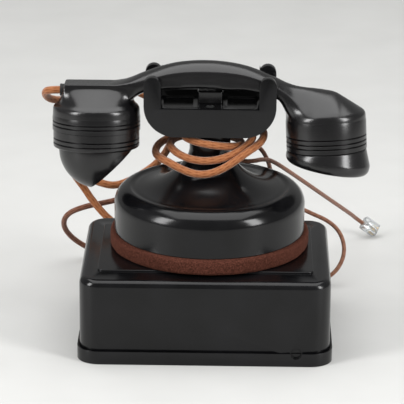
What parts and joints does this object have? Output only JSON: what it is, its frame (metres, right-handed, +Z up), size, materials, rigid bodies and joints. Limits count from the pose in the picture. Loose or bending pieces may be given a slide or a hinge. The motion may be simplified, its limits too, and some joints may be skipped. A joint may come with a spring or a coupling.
{
  "type": "desk telephone set",
  "caption": "Black cradle telephone without a dial: handset on a forked stand with a felt foot, on its bell box, with cloth cords wound round the neck.",
  "frame": {"origin": "middle of the bell box's underside, on the table", "axes": "+Z up, the front of the set faces -Y, +X to the right seen from the front"},
  "size_m": [0.2535, 0.2779, 0.1969],
  "materials": {
    "black_enamel": "gloss baked enamel",
    "black_bakelite": "polished moulded phenolic",
    "felt": "pressed wool",
    "handset_cord_cloth": "braided cotton",
    "mounting_cord_cloth": "braided cotton",
    "line_cord_cloth": "braided cotton",
    "clear_plastic": "clear moulded",
    "gilt_contact": "gilt",
    "rubber": "matte",
    "nickel_steel": "plated",
    "brass": "satin",
    "coil_wire": "enamelled wire under varnish",
    "fibre": "vulcanised fibre"
  },
  "bodies": {
    "set": {"armature_pin": "nickel_steel", "base_plate_screws": "nickel_steel", "bell_box_cover": "black_enamel", "bell_box_pan": "black_enamel", "box_terminal_block": "fibre", "box_terminal_screws": "brass", "condenser": "nickel_steel", "condenser_strap": "nickel_steel", "contact_insulators": "fibre", "contact_springs": "brass", "cover_screw": "black_enamel", "cradle": "black_enamel", "cradle_screws": "nickel_steel", "gong_left": "brass", "gong_posts": "brass", "gong_right": "brass", "gong_screws": "brass", "handset_cord_stand_bush": "rubber", "handset_cord_tail": "handset_cord_cloth", "handset_cord_upper": "handset_cord_cloth", "handset_cord_winding": "handset_cord_cloth", "induction_coil_cheeks": "fibre", "induction_coil_core": "nickel_steel", "induction_coil_winding": "coil_wire", "line_cord": "line_cord_cloth", "line_cord_box_bush": "rubber", "line_plug": "clear_plastic", "mounting_cord": "mounting_cord_cloth", "mounting_cord_box_bush": "rubber", "mounting_cord_stand_bush": "rubber", "plug_contacts": "gilt_contact", "plunger_guide": "brass", "plunger_spring": "nickel_steel", "ringer_coil_cheeks": "fibre", "ringer_coils": "coil_wire", "ringer_cores": "nickel_steel", "ringer_frame": "nickel_steel", "ringer_magnet": "nickel_steel", "stand_base_plate": "nickel_steel", "stand_felt": "felt", "stand_shell": "black_enamel", "stand_terminal_block": "fibre", "stand_terminal_screws": "brass", "switch_bracket": "nickel_steel"},
    "handset": {"handset_handle": "black_bakelite", "handset_cord_bush": "rubber", "mouthpiece_ring": "black_bakelite", "mouthpiece": "black_bakelite", "transmitter_grille": "brass", "transmitter_capsule": "brass", "receiver_cap": "black_bakelite", "receiver_diaphragm": "nickel_steel", "receiver_unit": "nickel_steel", "receiver_poles": "nickel_steel", "handset_cord_lead": "handset_cord_cloth"},
    "hook": {"hook_plunger": "black_bakelite"},
    "striker": {"armature": "nickel_steel", "clapper": "brass"}
  },
  "joints": [
    {"name": "handset_lift", "type": "slide", "parent": "set", "child": "handset", "axis": [0, 0, 1], "range_m": [0, 0.1]},
    {"name": "hook_rise", "type": "slide", "parent": "set", "child": "hook", "axis": [0, 0, 1], "range_m": [0, 0.005], "deforming": ["plunger_spring"]},
    {"name": "striker_swing", "type": "hinge", "parent": "set", "child": "striker", "pos_m": [0.01, 0, 0.022], "axis": [0, 0, 1], "range_deg": [-2, 2]}
  ],
  "couplings": [
    {"joint": "hook_rise", "follows": "handset_lift", "ratio": 0.05}
  ]
}
